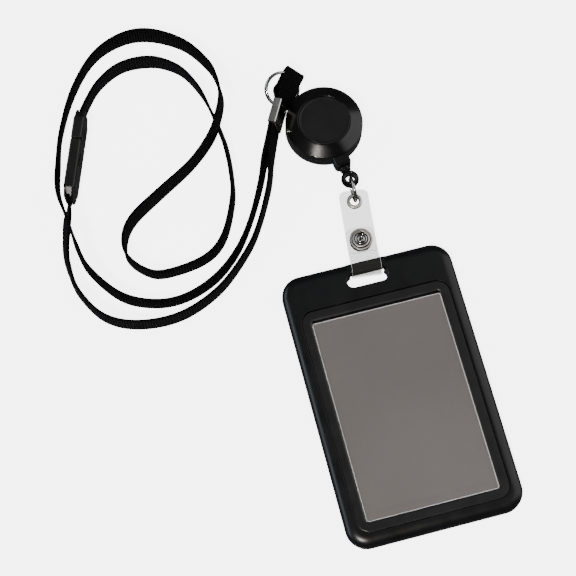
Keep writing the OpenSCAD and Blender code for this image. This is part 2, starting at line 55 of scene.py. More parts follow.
HOLDER = (68, 108.2, 8)         # width, length, corner radius
HOLDER_T = 6
WINDOW = (51.4, 80, 1.2)
BEZEL = (58.8, 87.6, 5)
BAY = (55, 86.4, 1)
WINDOW_Y = -5.1
BEZEL_Z = 4.75
SLOT = (16, 4.8)
BAR_W = 5.2
SLOT_Y = HOLDER[1] / 2 - BAR_W - SLOT[1] / 2
BAR_Y = HOLDER[1] / 2 - BAR_W / 2
STRAP_X = 0.8
STRAP_W = 11.6
STRAP_T = 0.6
STRAP_TURN = -6.2
SNAP_Y = 11.6
EYELET_Y = 27.8
STRAP_END_Y = 32.4
FLAP_END = 16.8
LEG_END = 6.6
JOINT_Z = 3
LOOP_Z = 3.95
LOOP_R = 3.3
REEL_POS = (0.4, 113.1, 0)
REEL_TURN = 9.3
REEL_R = 15.5
REEL_T = 10.2
DISC_R = 10.3
SPLIT_Z = 5.2
EDGE_Z = 8
CORD_Z = 4.5
CORD_D = 0.8
NECK_END = 19.6
COLLAR = (19.8, 22.4)
EYE_Y = 25.2
EYE_R = 3.55
EYE_T = 4.2
LINK_POS = (4.35, 83.45, 5.3)
LINK_R = 4.7
WIRE_D = 1.2
RING_POS = (-11.8, 132.5, 5.2)
RING_R = 6.7
RING_UP_DIR = 110
RING_TILT = 30
FOLD_ANGLE = -62
LUG_ANGLE = -160
LUG_DIR = -45
CRIMP_POS = (-17, 120, 9.3)
CRIMP_DIR = 61
CRIMP_ROLL = 78
CRIMP = (10.8, 10.4, 3.4)
FOLD_R = 2.2
WEB_W = 10
WEB_T = 1.2
BUCKLE_POS = (-98.4, 124, 6.4)
BUCKLE_DIR = 70
BUCKLE = (37, 12.6, 4.4)
PLUG_HEAD = 12.8

# Webbing routes: x, y, lift above the table, lean towards the left of the route in degrees
LONG_ROUTE = [
    (-20.1, 115.8, 4.2, -12), (-23, 110, 3.2, -11), (-26.8, 102.8, 2, -8), (-30.6, 94.3, 0.5, -4),
    (-38.1, 80.6, 0, 0), (-46.4, 69.5, 0, 0), (-57.1, 61, 0, 0), (-69.9, 56.5, 0, 2),
    (-82, 57.2, 0, 1), (-94, 63.4, 0, -2), (-103.2, 75.4, 3, -2), (-105.7, 84.2, 8, -3),
    (-106.4, 90.8, 10.4, 0), (-107, 96.8, 10.6, 0), (-107.9, 104, 10.2, 2), (-107.8, 112, 6, 0),
    (-106.1, 121.7, 1.2, -1), (-102.2, 135.5, 0, -5), (-93.9, 151.9, 0, -4), (-82.7, 165, 0, -4),
    (-70, 170.6, 0, 1), (-58, 169.6, 0, 4), (-45.6, 161.6, 0.4, 1), (-38.4, 149.6, 2.4, 0),
    (-36.7, 140.4, 5.6, -3), (-37.1, 131.1, 9, -6), (-40.2, 122.9, 10.4, -6),
    (-45.2, 115.4, 8.8, -5), (-55.2, 108.1, 4, -2), (-69.8, 100.8, 0.4, -4), (-81.9, 93.3, 0, -5),
    (-87.2, 86.2, 0, -4), (-88, 78.4, 0, -1), (-82.9, 71.2, 0, -2), (-75.4, 67.9, 0, -3),
    (-59.7, 69.6, 0, -1), (-50, 76.4, 0, 3), (-42.7, 91, 0, 4), (-40.5, 101.9, 0, 6),
    (-39.8, 112.7, 0, 9), (-40.3, 120.5, 0, 11), (-41.6, 129.8, 0, 9), (-44.1, 140.5, 0, 5),
    (-49, 150.2, 0, 4), (-55.8, 155.9, 0, 2),
]
LEAD_ROUTE = [
    (-55.8, 155.9, 0, 2), (-62.3, 158.3, 0, 0), (-70, 158.7, 0, 2), (-76.6, 156.9, 0, 2),
    (-83.5, 152.4, 0, 3), (-88.2, 147, 0.4, 2), (-92.2, 141, 1.2, 0),
]
SHORT_ROUTE = [
    (-104.6, 107, 1.2, 0), (-106.8, 101, 0.4, 20), (-108.8, 94, 0, 20), (-110.5, 86.5, 0, 15),
    (-110.8, 79.1, 0, 8), (-109.1, 68.5, 0, 2), (-101.8, 56.5, 0, 0), (-89.5, 50.4, 0, 0),
    (-73, 49.8, 0, 0), (-56.7, 56.2, 0, 0), (-43.2, 67.7, 0, 0), (-35.3, 78, 0, 1),
    (-27.4, 92.9, 0.6, 4), (-24.2, 102.3, 2, 8), (-21.5, 109.3, 3.2, 11), (-19, 115.1, 4.4, 12),
]

# ---------- sizes of the visible model only ----------

CROWN = 4.2                     # how far in the frame's rounded shoulder reaches
CROWN_Z = 3.2                   # where the shoulder starts, above the parting groove
PANE_Z = BEZEL_Z - 0.02         # the pane's front face
PANE_GAP = 0.9                  # gap between the trim and the pane's top edge, its floor painted black as shade
SNAP_HOLE_R = 2.3
EYELET_HOLE_R = 2.18
FOLD_PINCH = 0.2                # how much narrower the webbing is where the ring bunches it
RIB_PITCH = 1.1                 # the webbing's weave, along and across it
YARN_PITCH = 1.3
FLOOR_GLOW = 5.0                # strength of the floor's emission


def new_object(name, data):
    made = bpy.data.objects.new(name, data)
    bpy.context.scene.collection.objects.link(made)
    return made


# ---------- camera ----------

CAMERA_TARGET = Vector((-30.34, 52.01, 0))
CAMERA_DISTANCE = 623.2
CAMERA_AZIMUTH = radians(-14.62)
CAMERA_ELEVATION = radians(71.655)


def make_camera():
    data = bpy.data.cameras.new("camera")
    data.lens = 100
    data.sensor_width = 36
    data.clip_start = 0.02
    data.clip_end = 20
    camera = new_object("camera", data)
    level = cos(CAMERA_ELEVATION)
    back = Vector((sin(CAMERA_AZIMUTH) * level, -cos(CAMERA_AZIMUTH) * level, sin(CAMERA_ELEVATION)))
    right = Vector((0, 0, 1)).cross(back).normalized()
    turn = Matrix((right, back.cross(right), back)).transposed().to_4x4()
    camera.matrix_world = Matrix.Translation((CAMERA_TARGET + back * CAMERA_DISTANCE) * MM) @ turn
    bpy.context.scene.camera = camera


make_camera()

# ---------- materials ----------


class Nodes:
    """Short calls for building one material's node tree."""

    def __init__(self, name):
        self.material = bpy.data.materials.new(name)
        self.material.use_nodes = True
        self.tree = self.material.node_tree
        self.shader = self.tree.nodes["Principled BSDF"]
        self.output = self.tree.nodes["Material Output"]

    def node(self, kind, **values):
        made = self.tree.nodes.new("ShaderNode" + kind)
        for key, value in values.items():
            setattr(made, key, value)
        return made

    def link(self, source, target):
        self.tree.links.new(source, target)

    def set(self, **values):
        for key, value in values.items():
            self.shader.inputs[key.replace("_", " ")].default_value = value

    def place(self):
        return self.node("TexCoord").outputs["Object"]

    def noise(self, scale, detail=3.0, roughness=0.5, vector=None):
        made = self.node("TexNoise")
        made.inputs["Scale"].default_value = scale
        made.inputs["Detail"].default_value = detail
        made.inputs["Roughness"].default_value = roughness
        self.link(vector or self.place(), made.inputs["Vector"])
        return made.outputs["Fac"]

    def stretched(self, x, y, z, turn=0.0):
        made = self.node("Mapping")
        made.inputs["Scale"].default_value = (x, y, z)
        made.inputs["Rotation"].default_value = (0, 0, turn)
        self.link(self.place(), made.inputs["Vector"])
        return made.outputs["Vector"]

    def attribute(self, name):
        return self.node("Attribute", attribute_name=name).outputs["Fac"]

    def math(self, operation, a, b=None):
        made = self.node("Math", operation=operation)
        for socket, value in zip(made.inputs, (a, b)):
            if value is None:
                continue
            if isinstance(value, (int, float)):
                socket.default_value = value
            else:
                self.link(value, socket)
        return made.outputs[0]

    def spread(self, value, low, high, low_from=0.3, high_from=0.7):
        made = self.node("MapRange")
        limits = {"From Min": low_from, "From Max": high_from, "To Min": low, "To Max": high}
        for key, number in limits.items():
            made.inputs[key].default_value = number
        self.link(value, made.inputs["Value"])
        return made.outputs["Result"]

    def colour(self, value, low, high):
        made = self.node("ValToRGB")
        made.color_ramp.elements[0].position = 0.3
        made.color_ramp.elements[1].position = 0.7
        made.color_ramp.elements[0].color = (*low, 1)
        made.color_ramp.elements[1].color = (*high, 1)
        self.link(value, made.inputs["Fac"])
        self.link(made.outputs["Color"], self.shader.inputs["Base Color"])

    def rough(self, value, low, high):
        self.link(self.spread(value, low, high), self.shader.inputs["Roughness"])

    def bump(self, height, distance, strength=1.0):
        made = self.node("Bump")
        made.inputs["Strength"].default_value = strength
        made.inputs["Distance"].default_value = distance * MM
        self.link(height, made.inputs["Height"])
        self.link(made.outputs["Normal"], self.shader.inputs["Normal"])


def plastic(name, low, high, rough, grain, depth, shine=0.5):
    """Moulded plastic: a slow change of tone, a fine grain and a few rubbed places."""
    n = Nodes(name)
    n.set(Specular_IOR_Level=shine)
    n.colour(n.noise(60), low, high)
    n.rough(n.noise(140, detail=5), *rough)
    n.bump(n.noise(grain, detail=2), depth)
    return n.material


def metal(name, low, high, rough):
    """Plated metal: near mirror, with a slight change of tone and hairline scratches."""
    n = Nodes(name)
    n.set(Metallic=1.0)
    n.colour(n.noise(220), low, high)
    n.rough(n.noise(400, detail=6), *rough)
    n.bump(n.noise(1.0, detail=2, vector=n.stretched(400, 4000, 900, 0.6)), 0.004)
    return n.material


def brushed(name, low, high, rough, centre):
    """Plastic turned on a lathe: fine rings round centre."""
    n = Nodes(name)
    n.set(Specular_IOR_Level=0.5)
    mapping = n.node("Mapping")
    mapping.inputs["Location"].default_value = (-centre[0] * MM, -centre[1] * MM, 0)
    n.link(n.place(), mapping.inputs["Vector"])
    axes = n.node("SeparateXYZ")
    n.link(mapping.outputs["Vector"], axes.inputs["Vector"])
    squares = n.math("ADD", n.math("MULTIPLY", axes.outputs["X"], axes.outputs["X"]),
                     n.math("MULTIPLY", axes.outputs["Y"], axes.outputs["Y"]))
    radius = n.math("SQRT", squares)
    line = n.node("CombineXYZ")
    n.link(radius, line.inputs["X"])
    n.link(n.math("MULTIPLY", axes.outputs["Z"], 0.6), line.inputs["Y"])
    rings = n.noise(9000, detail=2, vector=line.outputs["Vector"])
    n.colour(n.noise(90), low, high)
    n.rough(n.noise(200, detail=4), *rough)
    n.bump(rings, 0.006)
    return n.material


def vinyl(name, colour, alpha, roughness):
    """Clear soft vinyl, a little milky, with faint flow marks."""
    n = Nodes(name)
    n.set(Alpha=alpha, IOR=1.5, Specular_IOR_Level=0.6)
    n.colour(n.noise(160), [c * 0.94 for c in colour], colour)
    n.rough(n.noise(300), *roughness)
    n.bump(n.noise(1.0, detail=3, vector=n.stretched(500, 160, 500)), 0.003)
    return n.material


def frosted(name):
    """Grey frosted pane: fine tooth and a slow cloudiness."""
    n = Nodes(name)
    n.set(Coat_Weight=0.25, Coat_Roughness=0.3, Specular_IOR_Level=0.5)
    n.colour(n.noise(14, detail=2), (0.125, 0.115, 0.11), (0.15, 0.139, 0.134))
    n.rough(n.noise(500, detail=4), 0.36, 0.46)
    n.bump(n.noise(6000, detail=1), 0.004)
    return n.material


def woven(name):
    """Ribbed tape: raised ribs across it, finer yarns along it, and a rolled edge."""
    n = Nodes(name)
    n.set(Specular_IOR_Level=0.035)
    along = n.attribute("along")
    across = n.attribute("across")
    across_turns = n.math("MULTIPLY", across, 2 * pi / YARN_PITCH)
    rib = n.math("SINE", n.math("MULTIPLY", along, 2 * pi / RIB_PITCH))
    yarn = n.math("SINE", across_turns)
    slant = n.math("SINE", n.math("ADD", n.math("MULTIPLY", along, pi / RIB_PITCH), across_turns))
    weave = n.math("ADD", n.math("MULTIPLY", rib, 0.6),
                   n.math("ADD", n.math("MULTIPLY", yarn, 0.2), n.math("MULTIPLY", slant, 0.25)))
    fuzz = n.noise(5200, detail=3)
    height = n.math("ADD", weave, n.math("MULTIPLY", fuzz, 0.5))
    # the weave's height also sets its tone: painted shade in the hollows and painted highlight on the ribs,
    # with random tone from the fuzz
    n.colour(n.spread(height, 0, 1, -0.8, 1.4), (0.0008, 0.0008, 0.0009), (0.0042, 0.0042, 0.0048))
    n.rough(n.noise(900, detail=3), 0.42, 0.56)
    n.bump(height, 0.13, 0.9)
    return n.material


def braided(name):
    """Thin braided nylon cord."""
    n = Nodes(name)
    wave = n.node("TexWave", wave_type="BANDS", bands_direction="DIAGONAL")
    wave.inputs["Scale"].default_value = 900
    wave.inputs["Distortion"].default_value = 2
    n.link(n.place(), wave.inputs["Vector"])
    # the braid's bands also set its tone: painted shade in their hollows, lighter on their ridges
    n.colour(wave.outputs["Fac"], (0.004, 0.004, 0.0045), (0.016, 0.016, 0.017))
    n.rough(n.noise(800), 0.5, 0.7)
    n.bump(wave.outputs["Fac"], 0.06)
    return n.material


def floor_paint(name):
    """White paint with a glow of its own, as on a lit table."""
    n = Nodes(name)
    n.set(Emission_Color=(1, 1, 1, 1), Emission_Strength=FLOOR_GLOW, Specular_IOR_Level=0.2)
    n.colour(n.noise(3), (0.86, 0.86, 0.87), (0.88, 0.88, 0.885))
    n.rough(n.noise(40), 0.6, 0.75)
    return n.material


LOOK = {
    "black_abs": plastic("shell_plastic", (0.0016, 0.0017, 0.0021), (0.003, 0.0032, 0.0039),
                         (0.27, 0.36), 7000, 0.003, shine=0.42),
    "bezel_abs": plastic("bezel_plastic", (0.004, 0.004, 0.0043), (0.0065, 0.0065, 0.007),
                         (0.3, 0.4), 6000, 0.005),
    "smoke_pane": frosted("frosted_pane"),
    "clear_vinyl": vinyl("clear_vinyl", (0.035, 0.035, 0.033), 0.36, (0.1, 0.18)),
    # painted highlight: near-white plastic for the window's rim, standing in for its lit edge
    "pane_edge_highlight": plastic("painted_highlight_pane", (0.6, 0.61, 0.64), (0.75, 0.76, 0.8), (0.1, 0.2), 3000, 0.004),
    # painted highlight: lighter plastic for the trim's sloped lips, as lines of light
    "bezel_lip_highlight": plastic("painted_highlight_plastic", (0.022, 0.022, 0.024), (0.05, 0.05, 0.054),
                           (0.16, 0.26), 5000, 0.004),
    "satin_nickel": metal("satin_nickel", (0.7, 0.68, 0.64), (0.82, 0.8, 0.77), (0.3, 0.42)),
    "groove_shadow": plastic("groove_shadow", (0.002, 0.002, 0.002), (0.006, 0.0055, 0.005),
                             (0.4, 0.5), 3000, 0.004, shine=0.1),
    "thin_vinyl": vinyl("thin_vinyl", (0.03, 0.03, 0.029), 0.12, (0.1, 0.18)),
    # painted highlight: near-white vinyl for the strap's cut edges, as lines of light
    "vinyl_edge_highlight": vinyl("painted_highlight_vinyl", (0.8, 0.81, 0.79), 0.6, (0.3, 0.4)),
    "nickel": metal("nickel_plate", (0.56, 0.545, 0.51), (0.72, 0.71, 0.68), (0.09, 0.2)),
    "steel_wire": metal("steel_wire", (0.5, 0.49, 0.47), (0.66, 0.655, 0.64), (0.07, 0.18)),
    "gloss_abs": brushed("turned_gloss", (0.0016, 0.0016, 0.0017), (0.0034, 0.0034, 0.0036),
                         (0.14, 0.22), REEL_POS),
    "reel_face": brushed("turned_satin", (0.0032, 0.0033, 0.0038), (0.0055, 0.0055, 0.006),
                         (0.3, 0.38), REEL_POS),
    "nylon_cord": braided("braided_cord"),
    "spring_steel": metal("spring_steel", (0.3, 0.3, 0.31), (0.42, 0.42, 0.43), (0.25, 0.4)),
    "white_acetal": plastic("spool_acetal", (0.66, 0.65, 0.61), (0.74, 0.73, 0.7),
                            (0.35, 0.45), 3000, 0.01),
    "webbing": woven("ribbed_webbing"),
    "buckle_abs": plastic("buckle_plastic", (0.0022, 0.002, 0.0019), (0.0048, 0.0043, 0.004),
                          (0.3, 0.42), 4200, 0.012),
}

# ---------- mesh helpers ----------


def placed(position, z=0.0, y=0.0):
    """The place of a part that stands at position, turned by y about its Y axis and then by z."""
    turn = Matrix.Rotation(radians(z), 4, "Z") @ Matrix.Rotation(radians(y), 4, "Y")
    return Matrix.Translation(position) @ turn


AT_STRAP = placed((STRAP_X, BAR_Y, 0), STRAP_TURN)
AT_REEL = placed(REEL_POS, REEL_TURN)
AT_RING = placed(RING_POS, RING_UP_DIR, -RING_TILT)
AT_CRIMP = placed(CRIMP_POS, CRIMP_DIR - 90, CRIMP_ROLL)
AT_BUCKLE = placed(BUCKLE_POS, BUCKLE_DIR - 90)
UPRIGHT = Matrix.Identity(4)


def tidy_faces(mesh, merge=None):
    """Turns every face outwards, after merging points closer than merge metres."""
    work = bmesh.new()
    work.from_mesh(mesh)
    if merge:
        bmesh.ops.remove_doubles(work, verts=work.verts, dist=merge)
    bmesh.ops.recalc_face_normals(work, faces=work.faces)
    work.to_mesh(mesh)
    work.free()


def make(name, shape, slot, place=UPRIGHT, sharp=34, finish=None):
    """An object of the shape (points, faces), smooth except at edges sharper than sharp degrees.

    Its material slot is slot. It is shown in LOOK[finish] where its finish differs from the slot's.
    """
    points, faces = shape
    mesh = bpy.data.meshes.new(name)
    mesh.from_pydata([place @ Vector(p) * MM for p in points], [], faces)
    tidy_faces(mesh, 1e-7)
    made = new_object(name, mesh)
    mesh.materials.append(LOOK[finish or slot])
    made["look"] = slot
    smooth(made, sharp)
    return made


def smooth(made, sharp=34):
    made.data.polygons.foreach_set("use_smooth", [True] * len(made.data.polygons))
    made.data.set_sharp_from_angle(angle=radians(sharp))


def bake_modifiers(made):
    graph = bpy.context.evaluated_depsgraph_get()
    mesh = bpy.data.meshes.new_from_object(made.evaluated_get(graph))
    made.modifiers.clear()
    made.data = mesh


def combine(made, other, operation, sharp=34):
    """Boolean of made with other, which is used up."""
    modifier = made.modifiers.new("boolean", "BOOLEAN")
    modifier.operation = operation
    modifier.solver = "EXACT"
    modifier.object = other
    bake_modifiers(made)
    bpy.data.objects.remove(other)
    smooth(made, sharp)


def cut(made, shape, place=UPRIGHT, sharp=34):
    combine(made, make("cutter", shape, "black_abs", place), "DIFFERENCE", sharp)


def add(made, shape, place=UPRIGHT, sharp=34):
    combine(made, make("added", shape, "black_abs", place), "UNION", sharp)


def soften(made, width, segments=2, angle=38, sharp=34):
    """Rounds the edges sharper than angle."""
    modifier = made.modifiers.new("bevel", "BEVEL")
    modifier.width = width * MM
    modifier.segments = segments
    modifier.limit_method = "ANGLE"
    modifier.angle_limit = radians(angle)
    modifier.harden_normals = False
    bake_modifiers(made)
    smooth(made, sharp)


def flatten_normals(made):
    """Keeps broad flat faces flat beside their rounded edges."""
    modifier = made.modifiers.new("weighted", "WEIGHTED_NORMAL")
    modifier.weight = 100
    modifier.keep_sharp = True


def finish_piece(made, body, *nodes):
    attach(made, body)
    if nodes:
        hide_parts(*nodes)


def bend_piece(made, node):
    """A soft piece that joins two bodies: its place is baked into its mesh and the CAD node it stands for is
    hidden.
    """
    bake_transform(made)
    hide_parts(node)


def loft(rings, closed=False):
    """Skin over rings of points, capped at both ends or closed on itself."""
    n = len(rings[0])
    count = len(rings)
    points = [p for ring in rings for p in ring]
    faces = []
    for i in range(count if closed else count - 1):
        a = i * n
        b = (i + 1) % count * n
        faces += [(a + k, a + (k + 1) % n, b + (k + 1) % n, b + k) for k in range(n)]
    if not closed:
        faces += [tuple(range(n))[::-1], tuple(range((count - 1) * n, count * n))]
    return points, faces


def rounded_rect(w, l, r, steps=10):
    """Outline of a rectangle with round corners."""
    return [
        (sx * (w / 2 - r) + r * cos(a), sy * (l / 2 - r) + r * sin(a))
        for quarter, (sx, sy) in enumerate(((1, 1), (-1, 1), (-1, -1), (1, -1)))
        for a in (pi / 2 * (quarter + i / steps) for i in range(steps + 1))
    ]


def rect_stack(size, levels, y=0.0, closed=False, steps=10):
    """Loft of one rounded rectangle, (inset, z) at each level."""
    w, l, r = size
    rings = []
    for inset, z in levels:
        outline = rounded_rect(w - 2 * inset, l - 2 * inset, max(0.05, r - inset), steps)
        rings.append([(px, py + y, z) for px, py in outline])
    return loft(rings, closed)


def rounded(corners, radius, closed=False, steps=4):
    """A line of corners with each one rounded off over the distance radius."""
    count = len(corners)
    line = []
    for i, corner in enumerate(corners):
        here = Vector(corner)
        if not closed and i in (0, count - 1):
            line.append(tuple(here))
            continue
        before = Vector(corners[i - 1]) - here
        after = Vector(corners[(i + 1) % count]) - here
        reach = min(radius, before.length * 0.45, after.length * 0.45)
        a = here + before.normalized() * reach
        b = here + after.normalized() * reach
        for k in range(steps + 1):
            t = k / steps
            line.append(tuple(a * (1 - t) ** 2 + here * 2 * t * (1 - t) + b * t * t))
    return line


def lathe(profile, loop=False, steps=96):
    """Profile of (radius, height) turned about Z. A loop profile is a ring's section."""
    n = len(profile)
    points = [
        (r * cos(2 * pi * i / steps), r * sin(2 * pi * i / steps), z)
        for i in range(steps) for r, z in profile
    ]
    faces = [
        (i * n + k, (i + 1) % steps * n + k, (i + 1) % steps * n + (k + 1) % n, i * n + (k + 1) % n)
        for i in range(steps) for k in range(n if loop else n - 1)
    ]
    return points, faces


def block(x, y, z):
    """Box between two corners given as (low, high) on each axis."""
    rings = [[(x[a], y[b], z[c]) for a, b in ((0, 0), (1, 0), (1, 1), (0, 1))] for c in (0, 1)]
    return loft(rings)


def drum(r, z, steps=48):
    """Cylinder on Z between two heights."""
    circle = [(r * cos(2 * pi * i / steps), r * sin(2 * pi * i / steps)) for i in range(steps)]
    return loft([[(px, py, h) for px, py in circle] for h in z])


def along_y(shape):
    """A shape made on Z, laid so that its Z runs along -Y and its Y along Z."""
    points, faces = shape
    return [(x, -z, y) for x, y, z in points], faces


def extrude_x(profile, width):
    """A profile in Y and Z, extruded along X and centred on it."""
    return loft([[(x, y, z) for y, z in profile] for x in (-width / 2, width / 2)])


def wire(path, radius, sides=14, closed=False):
    """Round wire along a path, turning as little as it can."""
    path = [Vector(p) for p in path]
    count = len(path)
    normal = None
    rings = []
    for i, p in enumerate(path):
        before = path[i - 1] if closed or i else p
        after = path[(i + 1) % count] if closed or i < count - 1 else p
        ahead = (after - before).normalized()
        if normal is None:
            normal = ahead.orthogonal().normalized()
        normal = (normal - ahead * normal.dot(ahead)).normalized()
        side = ahead.cross(normal)
        rings.append([
            p + normal * radius * cos(2 * pi * k / sides) + side * radius * sin(2 * pi * k / sides)
            for k in range(sides)
        ])
    return loft(rings, closed)


# ---------- webbing ----------

# The webbing's section: part of half its width, part of half its thickness. The edges are rolled.
EDGE = [(0.9, 0.96), (0.94, 1.0), (0.98, 0.75), (1.0, 0.25)]
FLAT = [0.84, 0.6, 0.3, 0, -0.3, -0.6, -0.84]
HALF_SECTION = [(h, -v) for h, v in EDGE[::-1]] + [(h, -0.86) for h in FLAT] + [(-h, -v) for h, v in EDGE]
SECTION = HALF_SECTION + [(-h, -v) for h, v in HALF_SECTION]
SMOOTH_STEPS = 8


def between(p, i, t):
    """Point on the smooth curve through p, part t of the way from p[i] to p[i + 1]."""
    a, b, c, d = (Vector(p[max(0, min(len(p) - 1, i + k))]) for k in (-1, 0, 1, 2))
    return (b * 2 + (c - a) * t + (a * 2 - b * 5 + c * 4 - d) * t * t + (b * 3 - a - c * 3 + d) * t ** 3) / 2


def smooth_route(route):
    line = [between(route, i, k / SMOOTH_STEPS) for i in range(len(route) - 1) for k in range(SMOOTH_STEPS)]
    return line + [Vector(route[-1])]


def tape_frames(line):
    """For each point of the line: the tape's middle, and its half width and half thickness."""
    frames = []
    for i, p in enumerate(line):
        step = line[min(len(line) - 1, i + 1)] - line[max(0, i - 1)]
        ahead = Vector((step[0], step[1], 0)).normalized()
        left = Vector((-ahead.y, ahead.x, 0))
        up = Vector((0, 0, 1))
        lean = radians(p[3])
        wide = (up * cos(lean) + left * sin(lean)) * WEB_W / 2
        thick = (left * cos(lean) - up * sin(lean)) * WEB_T / 2
        height = cos(lean) * WEB_W / 2 + abs(sin(lean)) * WEB_T / 2 + p[2]
        frames.append((Vector((p[0], p[1], height)), wide, thick))
    return frames


def tape(name, frames, start=0.0):
    """Webbing over the frames, with its distance along and across kept for the weave."""
    rings = [[middle + wide * h + thick * v for h, v in SECTION] for middle, wide, thick in frames]
    points, faces = loft(rings)
    mesh = bpy.data.meshes.new(name)
    mesh.from_pydata([p * MM for p in points], [], faces)
    distance = start
    along = []
    across = []
    for i, (middle, _, _) in enumerate(frames):
        distance += (middle - frames[i - 1][0]).length if i else 0
        along += [distance] * len(SECTION)
        across += [h * WEB_W / 2 for h, _ in SECTION]
    for key, values in (("along", along), ("across", across)):
        mesh.attributes.new(key, "FLOAT", "POINT").data.foreach_set("value", values)
    tidy_faces(mesh)
    made = new_object(name, mesh)
    mesh.materials.append(LOOK["webbing"])
    made["look"] = "webbing"
    smooth(made, 50)
    return made, distance


def make_strands():
    """The two strands of the lanyard. The long one is in two pieces, because the buckle's plug moves."""
    whole = tape_frames(smooth_route(LONG_ROUTE + LEAD_ROUTE[1:]))
    cut_at = (len(LONG_ROUTE) - 1) * SMOOTH_STEPS
    long_strand, used = tape("long_strand", whole[:cut_at + 1])
    lead, _ = tape("long_strand_lead", whole[cut_at:], used)
    short_frames = tape_frames(smooth_route(SHORT_ROUTE))
    short_strand, _ = tape("short_strand", short_frames)
    finish_piece(long_strand, "lanyard", "strap_long")
    finish_piece(short_strand, "lanyard", "strap_short")
    bend_piece(lead, "strap_lead")


def ring_radius(angle):
    up = radians(RING_UP_DIR)
    tilt = radians(RING_TILT)
    rise = Vector((cos(up) * cos(tilt), sin(up) * cos(tilt), sin(tilt)))
    level = Vector((-sin(up), cos(up), 0))
    return rise * cos(radians(angle)) + level * sin(radians(angle))


def ring_point(angle):
    return Vector(RING_POS) + ring_radius(angle) * RING_R


def make_end_loop():
    """Webbing folded over the split ring, from the crimp and back to it."""
    direction = radians(CRIMP_DIR)
    roll = radians(CRIMP_ROLL)
    crimp_along = Vector((cos(direction), sin(direction), 0))
    crimp_across = Vector((sin(direction) * cos(roll), -cos(direction) * cos(roll), -sin(roll)))
    start = Vector(CRIMP_POS) + crimp_along * (CRIMP[1] / 2 - 1)
    centre = ring_point(FOLD_ANGLE)
    fold_along = ring_radius(FOLD_ANGLE)
    fold_across = ring_radius(FOLD_ANGLE - 90)
    leaving, arriving = 5, 6.5      # how far the run keeps each end's direction
    turned_by, open_by = 0.75, 0.6  # parts of the run by which it has turned, and opened out
    control = (start, start + crimp_along * leaving, centre - fold_along * arriving, centre)

    def middle(t):
        a, b, c, d = control
        return a * (1 - t) ** 3 + b * 3 * t * (1 - t) ** 2 + c * 3 * t * t * (1 - t) + d * t ** 3

    def frame_at(t, past, out_by, turn=0.0):
        """A tape frame beside the middle line, its thickness turned by turn towards the fold."""
        ahead = (middle(t + 0.01) - middle(t - 0.01)).normalized()
        turned = min(1, t / turned_by)
        rough = crimp_across * (1 - turned) + fold_across * turned
        wide = (rough - ahead * rough.dot(ahead)).normalized()
        out = wide.cross(ahead)
        thick = out * cos(turn) + ahead * sin(turn)
        pinch = FOLD_PINCH * turned * WEB_W / 2
        place = middle(t) + ahead * past + out * out_by + wide * pinch
        return place, wide * (WEB_W / 2 - pinch), thick * WEB_T / 2

    near = WEB_T / 2 + 0.05

    def side(t):
        return near + (FOLD_R - near) * min(1, t / open_by)

    steps = 20
    first = [frame_at(i / steps, 0, side(i / steps)) for i in range(steps)]
    fold = [
        frame_at(1, FOLD_R * sin(a), FOLD_R * cos(a), a)
        for a in (pi * i / 16 for i in range(17))
    ]
    last = [frame_at(i / steps, 0, -side(i / steps), pi) for i in reversed(range(steps))]
    loop, _ = tape("end_loop_webbing", first + fold + last)
    finish_piece(loop, "lanyard", "end_loop")


make_strands()
make_end_loop()

# ---------- holder ----------


def mark_faces(made, look, wanted):
    """Another finish for the faces that wanted(middle, slope in degrees) picks."""
    made.data.materials.append(LOOK[look])
    for face in made.data.polygons:
        if wanted(face.center / MM, degrees(face.normal.angle((0, 0, 1)))):
            face.material_index = 1


def make_shell():
    shoulder = [
        (CROWN * (1 - cos(a)), CROWN_Z + (HOLDER_T - CROWN_Z) * sin(a))
        for a in (pi / 2 * i / 9 for i in range(10))
    ]
    groove = [(0, 2.2), (0.22, 2.32), (0.22, 2.48), (0, 2.6)]
    levels = [(0.9, 0), (0.45, 0.08), (0.12, 0.35), (0, 0.8)] + groove + shoulder
    shell = make("holder_shell", rect_stack(HOLDER, levels), "black_abs")
    pocket = [(2.1, -1), (2.1, BEZEL_Z), (0, BEZEL_Z), (0, 5.7), (-0.1, 5.92), (-0.45, 6.05), (-1, 6.5)]
    size = (BEZEL[0] + 0.3, BEZEL[1] + 0.3, BEZEL[2] + 0.15)
    cut(shell, rect_stack(size, pocket, WINDOW_Y))
    rail = 30
    groove_x = 31.3
    half = [(rail, -1), (rail, 0.9), (groove_x, 0.9), (groove_x, 2), (rail, 2), (rail, 2.25)]
    profile = half + [(-x, z) for x, z in half[::-1]]
    cut(shell, loft([[(x, y, z) for x, z in profile] for y in (-60, 41.25)]))
    flare = [(-1.2, -0.6), (-0.5, 0), (-0.12, 0.3), (0, 0.8), (0, 5), (-0.1, 5.5), (-0.4, 5.85), (-1.1, 6.3)]
    cut(shell, rect_stack((SLOT[0], SLOT[1], SLOT[1] / 2 - 0.02), flare, SLOT_Y))
    # room for the strap round a slimmer bar
    room = STRAP_W / 2 + 1.2
    cut(shell, block((STRAP_X - room, STRAP_X + room), (BAR_Y - 3.2, BAR_Y + 4), (-1, 7)))
    bar = rounded([(-2.3, -1.95), (2.3, -1.95), (2.3, 1.95), (-2.3, 1.95)], 1.5, closed=True, steps=5)
    bar_place = Matrix.Translation((STRAP_X, BAR_Y, LOOP_Z))
    add(shell, extrude_x(bar, 2 * room + 1), bar_place)
    flatten_normals(shell)
    finish_piece(shell, "holder", "holder_frame")


